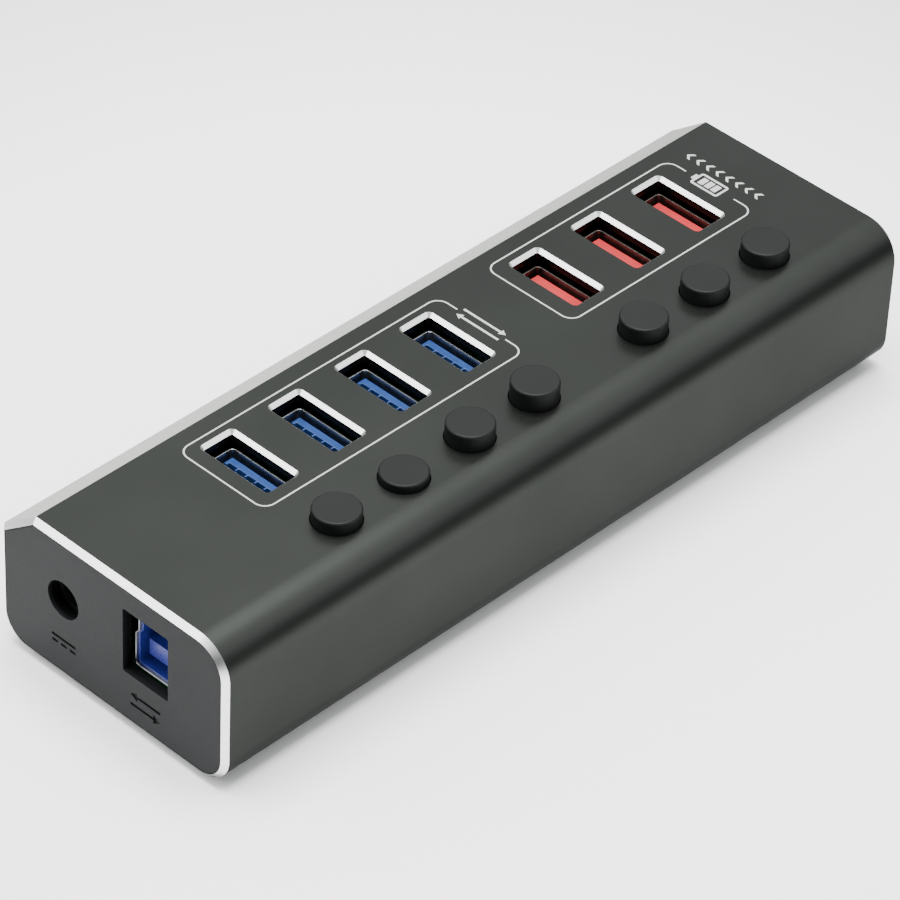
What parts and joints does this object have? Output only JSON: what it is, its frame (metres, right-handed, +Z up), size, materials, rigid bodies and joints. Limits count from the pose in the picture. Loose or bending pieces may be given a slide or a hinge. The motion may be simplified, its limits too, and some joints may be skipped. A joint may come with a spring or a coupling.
{
  "type": "usb hub",
  "caption": "Desktop hub in a closed aluminium case: upright sockets in two groups, a latching push button beside each, an upstream socket and a power jack in one end.",
  "frame": {"origin": "on the surface that the feet stand on, under the middle of the case", "axes": "+X along the case, away from the connector end; +Z up; -Y towards the row of push buttons"},
  "size_m": [0.149, 0.0486, 0.0311],
  "materials": {
    "anodised_aluminium": "matte dark grey anodised, with bright-cut rims, port edges and one long chamfer",
    "end_cap_plastic": "fine matte moulded",
    "button_plastic": "fine matte moulded",
    "blue_plastic": "satin moulded",
    "red_plastic": "satin moulded",
    "black_plastic": "moulded",
    "white_plastic": "moulded",
    "tinned_steel": "bright tin-plated sheet",
    "spring_steel": "drawn wire",
    "board_laminate": "green solder resist over glass laminate",
    "foot_rubber": "matte"
  },
  "bodies": {
    "base": {"housing": "anodised_aluminium", "front_end_cap": "end_cap_plastic", "rear_end_cap": "end_cap_plastic", "circuit_board": "board_laminate", "usb_a_shell_1": "tinned_steel", "usb_a_tongue_1": "blue_plastic", "switch_body_1": "black_plastic", "switch_spring_1": "spring_steel", "usb_a_shell_2": "tinned_steel", "usb_a_tongue_2": "blue_plastic", "switch_body_2": "black_plastic", "switch_spring_2": "spring_steel", "usb_a_shell_3": "tinned_steel", "usb_a_tongue_3": "blue_plastic", "switch_body_3": "black_plastic", "switch_spring_3": "spring_steel", "usb_a_shell_4": "tinned_steel", "usb_a_tongue_4": "blue_plastic", "switch_body_4": "black_plastic", "switch_spring_4": "spring_steel", "usb_a_shell_5": "tinned_steel", "usb_a_tongue_5": "red_plastic", "switch_body_5": "black_plastic", "switch_spring_5": "spring_steel", "usb_a_shell_6": "tinned_steel", "usb_a_tongue_6": "red_plastic", "switch_body_6": "black_plastic", "switch_spring_6": "spring_steel", "usb_a_shell_7": "tinned_steel", "usb_a_tongue_7": "red_plastic", "switch_body_7": "black_plastic", "switch_spring_7": "spring_steel", "usb_b_shell": "tinned_steel", "usb_b_insulator": "blue_plastic", "dc_jack_body": "black_plastic", "dc_jack_pin": "tinned_steel", "hub_controller_chip_1": "black_plastic", "hub_controller_chip_2": "black_plastic", "power_inductor": "black_plastic", "clock_crystal": "tinned_steel", "supply_capacitor": "tinned_steel", "rubber_foot_1": "foot_rubber", "rubber_foot_2": "foot_rubber", "rubber_foot_3": "foot_rubber", "rubber_foot_4": "foot_rubber"},
    "button_1": {"button_cap_1": "button_plastic", "switch_plunger_1": "white_plastic"},
    "button_2": {"button_cap_2": "button_plastic", "switch_plunger_2": "white_plastic"},
    "button_3": {"button_cap_3": "button_plastic", "switch_plunger_3": "white_plastic"},
    "button_4": {"button_cap_4": "button_plastic", "switch_plunger_4": "white_plastic"},
    "button_5": {"button_cap_5": "button_plastic", "switch_plunger_5": "white_plastic"},
    "button_6": {"button_cap_6": "button_plastic", "switch_plunger_6": "white_plastic"},
    "button_7": {"button_cap_7": "button_plastic", "switch_plunger_7": "white_plastic"}
  },
  "joints": [
    {"name": "button_1_press", "type": "slide", "parent": "base", "child": "button_1", "axis": [0, 0, 1], "range_m": [-0.002, 0], "stiffness_N_per_m": 300, "springref_m": 0.002, "deforming": ["switch_spring_1"]},
    {"name": "button_2_press", "type": "slide", "parent": "base", "child": "button_2", "axis": [0, 0, 1], "range_m": [-0.0006, 0.0014], "stiffness_N_per_m": 300, "deforming": ["switch_spring_2"]},
    {"name": "button_3_press", "type": "slide", "parent": "base", "child": "button_3", "axis": [0, 0, 1], "range_m": [-0.002, 0], "stiffness_N_per_m": 300, "springref_m": 0.002, "deforming": ["switch_spring_3"]},
    {"name": "button_4_press", "type": "slide", "parent": "base", "child": "button_4", "axis": [0, 0, 1], "range_m": [-0.002, 0], "stiffness_N_per_m": 300, "springref_m": 0.002, "deforming": ["switch_spring_4"]},
    {"name": "button_5_press", "type": "slide", "parent": "base", "child": "button_5", "axis": [0, 0, 1], "range_m": [-0.002, 0], "stiffness_N_per_m": 300, "springref_m": 0.002, "deforming": ["switch_spring_5"]},
    {"name": "button_6_press", "type": "slide", "parent": "base", "child": "button_6", "axis": [0, 0, 1], "range_m": [-0.002, 0], "stiffness_N_per_m": 300, "springref_m": 0.002, "deforming": ["switch_spring_6"]},
    {"name": "button_7_press", "type": "slide", "parent": "base", "child": "button_7", "axis": [0, 0, 1], "range_m": [-0.002, 0], "stiffness_N_per_m": 300, "springref_m": 0.002, "deforming": ["switch_spring_7"]}
  ]
}
